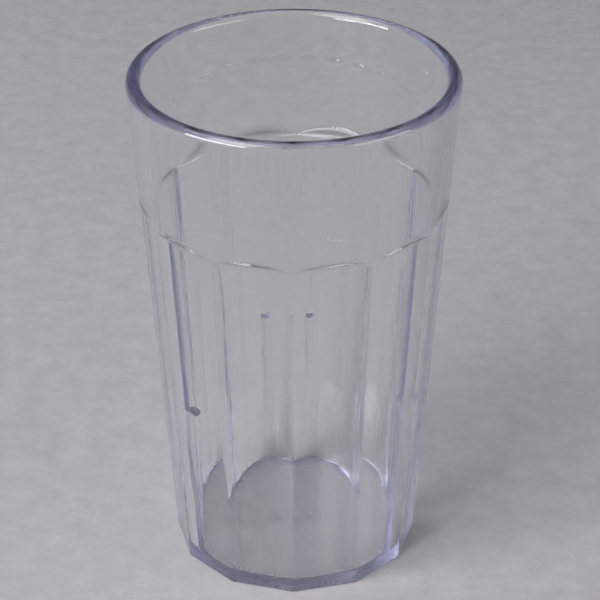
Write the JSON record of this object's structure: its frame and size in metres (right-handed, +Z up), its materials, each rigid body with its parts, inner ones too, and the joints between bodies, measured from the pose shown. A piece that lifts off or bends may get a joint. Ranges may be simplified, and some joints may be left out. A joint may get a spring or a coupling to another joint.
{
  "type": "tumbler cup",
  "caption": "Clear plastic drinking tumbler with a flat-faceted tapered wall, an arched ledge, a round rim and short stacking ribs inside.",
  "frame": {"origin": "middle of the foot, on the surface that the cup stands on", "axes": "+Z up along the cup's own axis to the open rim; ridges between facets point along +X, -X, +Y and -Y"},
  "size_m": [0.0848, 0.0848, 0.1369],
  "materials": {
    "clear_plastic": "clear, polished, with a faint blue tint in the thick parts"
  },
  "bodies": {
    "root": {"tumbler": "clear_plastic"}
  },
  "joints": []
}
